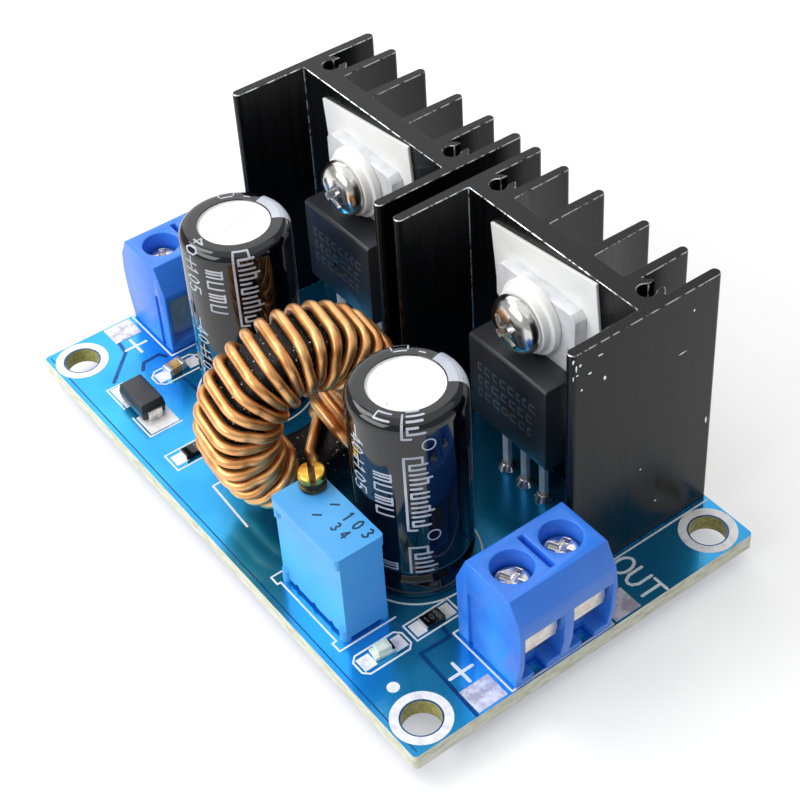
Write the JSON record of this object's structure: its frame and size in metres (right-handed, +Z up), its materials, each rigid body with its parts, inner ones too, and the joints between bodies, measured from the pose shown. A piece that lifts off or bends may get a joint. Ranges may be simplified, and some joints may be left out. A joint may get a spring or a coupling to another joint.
{
  "type": "buck converter module",
  "caption": "Adjustable buck converter board with two finned heatsinks, an upright wound ring coil, two capacitors, a trimmer and screw terminals.",
  "frame": {"origin": "centre of the four mounting holes, on the underside of the circuit board", "axes": "+X from the IN terminal to the OUT terminal, +Y towards the heatsinks, +Z up from the board to the components"},
  "size_m": [0.0622, 0.037, 0.029],
  "materials": {
    "circuit_board": "glossy blue solder mask on glass fibre",
    "solder": "bright tin solder",
    "anodised_aluminium": "black anodised extrusion with bare cut edges",
    "tinned_lead": "tinned",
    "silicone_pad": "white silicone sheet",
    "nylon_bush": "white nylon",
    "bright_screw": "bright plated steel",
    "epoxy_body": "black moulded epoxy",
    "capacitor_aluminium": "drawn aluminium",
    "capacitor_sleeve": "glossy near-black shrink sleeve",
    "rubber_bung": "black rubber",
    "coated_core": "black coated powder core",
    "enamelled_copper": "enamelled copper wire",
    "trimmer_plastic": "sky-blue moulded plastic",
    "brass": "brass",
    "terminal_plastic": "blue moulded nylon",
    "tinned_contact": "tinned strip",
    "ceramic": "tan ceramic with plated ends",
    "lamp_plastic": "clear and white resin",
    "chip_resistor": "black glaze with plated ends"
  },
  "bodies": {
    "module": {"board": "circuit_board", "solder_joints": "solder", "lead_fillets": "solder", "heatsink_in": "anodised_aluminium", "heatsink_out": "anodised_aluminium", "heatsink_pins_in": "tinned_lead", "heatsink_pins_out": "tinned_lead", "insulating_pad_in": "silicone_pad", "insulating_pad_out": "silicone_pad", "insulating_bush_in": "nylon_bush", "insulating_bush_out": "nylon_bush", "fixing_screw_in": "bright_screw", "fixing_screw_out": "bright_screw", "regulator_body": "epoxy_body", "regulator_leadframe": "tinned_lead", "diode_body": "epoxy_body", "diode_leadframe": "tinned_lead", "capacitor_can_in": "capacitor_aluminium", "capacitor_sleeve_in": "capacitor_sleeve", "capacitor_bung_in": "rubber_bung", "capacitor_leads_in": "tinned_lead", "capacitor_can_out": "capacitor_aluminium", "capacitor_sleeve_out": "capacitor_sleeve", "capacitor_bung_out": "rubber_bung", "capacitor_leads_out": "tinned_lead", "coil_core": "coated_core", "coil_winding": "enamelled_copper", "trimmer_body": "trimmer_plastic", "trimmer_pins": "tinned_lead", "terminal_housing_in": "terminal_plastic", "terminal_contacts_in": "tinned_contact", "terminal_housing_out": "terminal_plastic", "terminal_contacts_out": "tinned_contact", "smd_diode": "epoxy_body", "smd_diode_tabs": "tinned_lead", "chip_capacitor": "ceramic", "indicator_lamp": "lamp_plastic", "resistor_in": "chip_resistor", "resistor_out": "chip_resistor"},
    "trimmer_screw": {"trimmer_screw": "brass"},
    "leaf_in_plus": {"clamp_leaf_in_plus": "tinned_contact"},
    "screw_in_plus": {"clamp_screw_in_plus": "bright_screw"},
    "leaf_in_minus": {"clamp_leaf_in_minus": "tinned_contact"},
    "screw_in_minus": {"clamp_screw_in_minus": "bright_screw"},
    "leaf_out_plus": {"clamp_leaf_out_plus": "tinned_contact"},
    "screw_out_plus": {"clamp_screw_out_plus": "bright_screw"},
    "leaf_out_minus": {"clamp_leaf_out_minus": "tinned_contact"},
    "screw_out_minus": {"clamp_screw_out_minus": "bright_screw"}
  },
  "joints": [
    {"name": "trimmer_turn", "type": "hinge", "parent": "module", "child": "trimmer_screw", "pos_m": [0.00957, -0.0127, 0.0116], "axis": [0, 0, 1], "continuous": true},
    {"name": "clamp_slide_in_plus", "type": "slide", "parent": "module", "child": "leaf_in_plus", "axis": [0, 0, 1], "range_m": [-0.0011, 0.0005]},
    {"name": "screw_turn_in_plus", "type": "hinge", "parent": "leaf_in_plus", "child": "screw_in_plus", "pos_m": [-0.02695, -0.00559, 0.009], "axis": [0, 0, 1], "range_deg": [-795, 362]},
    {"name": "clamp_slide_in_minus", "type": "slide", "parent": "module", "child": "leaf_in_minus", "axis": [0, 0, 1], "range_m": [-0.0011, 0.0005]},
    {"name": "screw_turn_in_minus", "type": "hinge", "parent": "leaf_in_minus", "child": "screw_in_minus", "pos_m": [-0.02695, -0.00051, 0.009], "axis": [0, 0, 1], "range_deg": [-795, 362]},
    {"name": "clamp_slide_out_plus", "type": "slide", "parent": "module", "child": "leaf_out_plus", "axis": [0, 0, 1], "range_m": [-0.0011, 0.0005]},
    {"name": "screw_turn_out_plus", "type": "hinge", "parent": "leaf_out_plus", "child": "screw_out_plus", "pos_m": [0.02695, -0.00559, 0.009], "axis": [0, 0, 1], "range_deg": [-795, 362]},
    {"name": "clamp_slide_out_minus", "type": "slide", "parent": "module", "child": "leaf_out_minus", "axis": [0, 0, 1], "range_m": [-0.0011, 0.0005]},
    {"name": "screw_turn_out_minus", "type": "hinge", "parent": "leaf_out_minus", "child": "screw_out_minus", "pos_m": [0.02695, -0.00051, 0.009], "axis": [0, 0, 1], "range_deg": [-795, 362]}
  ],
  "couplings": [
    {"joint": "screw_turn_in_plus", "follows": "clamp_slide_in_plus", "rad_per_m": 12566},
    {"joint": "screw_turn_in_minus", "follows": "clamp_slide_in_minus", "rad_per_m": 12566},
    {"joint": "screw_turn_out_plus", "follows": "clamp_slide_out_plus", "rad_per_m": 12566},
    {"joint": "screw_turn_out_minus", "follows": "clamp_slide_out_minus", "rad_per_m": 12566}
  ]
}
